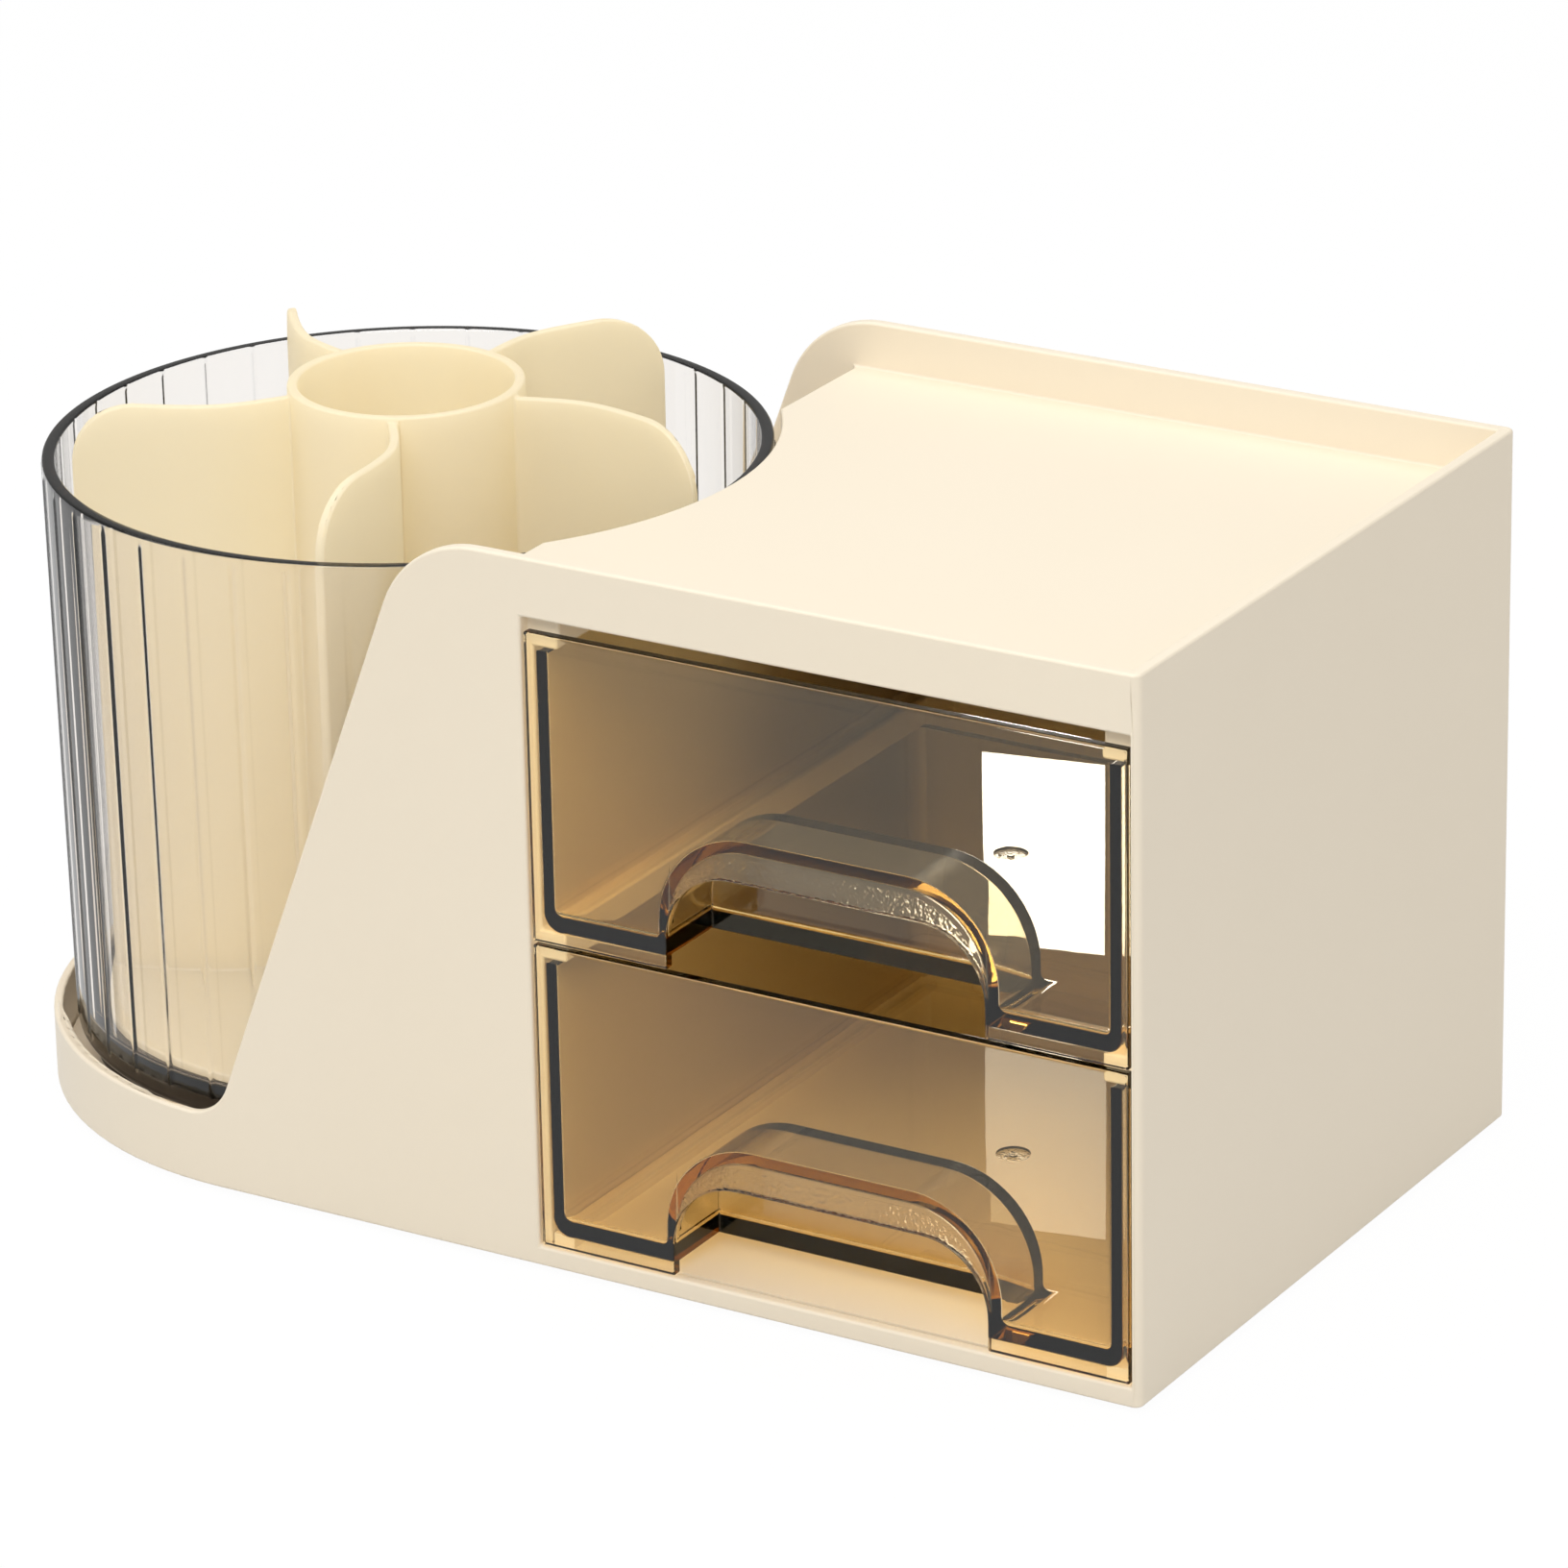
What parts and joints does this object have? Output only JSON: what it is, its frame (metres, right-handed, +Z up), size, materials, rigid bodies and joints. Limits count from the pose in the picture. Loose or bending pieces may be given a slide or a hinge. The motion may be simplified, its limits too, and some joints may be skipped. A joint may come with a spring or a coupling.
{
  "type": "rotating desk organizer with drawers",
  "caption": "Cream desk organizer: a swept cabinet with clear stacked drawers and a recessed top beside a clear fluted pen cup that turns in a round tray, with a lift-out divider.",
  "frame": {"origin": "middle of the outline on the surface that the feet stand on", "axes": "+X along the length from the cup to the cabinet, drawers open towards -Y, +Z up"},
  "size_m": [0.2142, 0.1156, 0.111],
  "materials": {
    "cream_shell": "satin cream moulding",
    "cream_insert": "satin cream moulding",
    "clear_cup": "polished clear, faint amber",
    "clear_drawer": "polished clear amber brown",
    "black_plastic": "satin black moulding",
    "white_plastic": "natural nylon",
    "steel": "zinc plated",
    "steel_ball": "polished steel",
    "foot_rubber": "translucent grey rubber"
  },
  "bodies": {
    "base": {"housing": "cream_shell", "base_plate": "cream_shell", "base_screw_1": "steel", "base_screw_2": "steel", "base_screw_3": "steel", "base_screw_4": "steel", "foot_1": "foot_rubber", "foot_2": "foot_rubber", "foot_3": "foot_rubber", "foot_4": "foot_rubber", "foot_5": "foot_rubber", "foot_6": "foot_rubber", "pivot_washer": "steel", "pivot_screw": "steel"},
    "cup": {"turntable": "black_plastic", "pen_cup": "clear_cup"},
    "cage": {"ball_cage": "white_plastic", "ball_1": "steel_ball", "ball_2": "steel_ball", "ball_3": "steel_ball", "ball_4": "steel_ball", "ball_5": "steel_ball", "ball_6": "steel_ball", "ball_7": "steel_ball", "ball_8": "steel_ball", "ball_9": "steel_ball", "ball_10": "steel_ball", "ball_11": "steel_ball", "ball_12": "steel_ball"},
    "insert": {"divider_insert": "cream_insert"},
    "lower_drawer": {"lower_drawer": "clear_drawer"},
    "upper_drawer": {"upper_drawer": "clear_drawer"}
  },
  "joints": [
    {"name": "cup_turn", "type": "hinge", "parent": "base", "child": "cup", "pos_m": [-0.0493, 0, 0], "axis": [0, 0, 1], "continuous": true},
    {"name": "cage_turn", "type": "hinge", "parent": "base", "child": "cage", "pos_m": [-0.0493, 0, 0], "axis": [0, 0, 1], "continuous": true},
    {"name": "insert_lift", "type": "slide", "parent": "cup", "child": "insert", "axis": [0, 0, 1], "range_m": [0, 0.1]},
    {"name": "lower_drawer_slide", "type": "slide", "parent": "base", "child": "lower_drawer", "axis": [0, -1, 0], "range_m": [0, 0.085]},
    {"name": "upper_drawer_slide", "type": "slide", "parent": "base", "child": "upper_drawer", "axis": [0, -1, 0], "range_m": [0, 0.085]}
  ],
  "couplings": [
    {"joint": "cage_turn", "follows": "cup_turn", "ratio": 0.5}
  ]
}
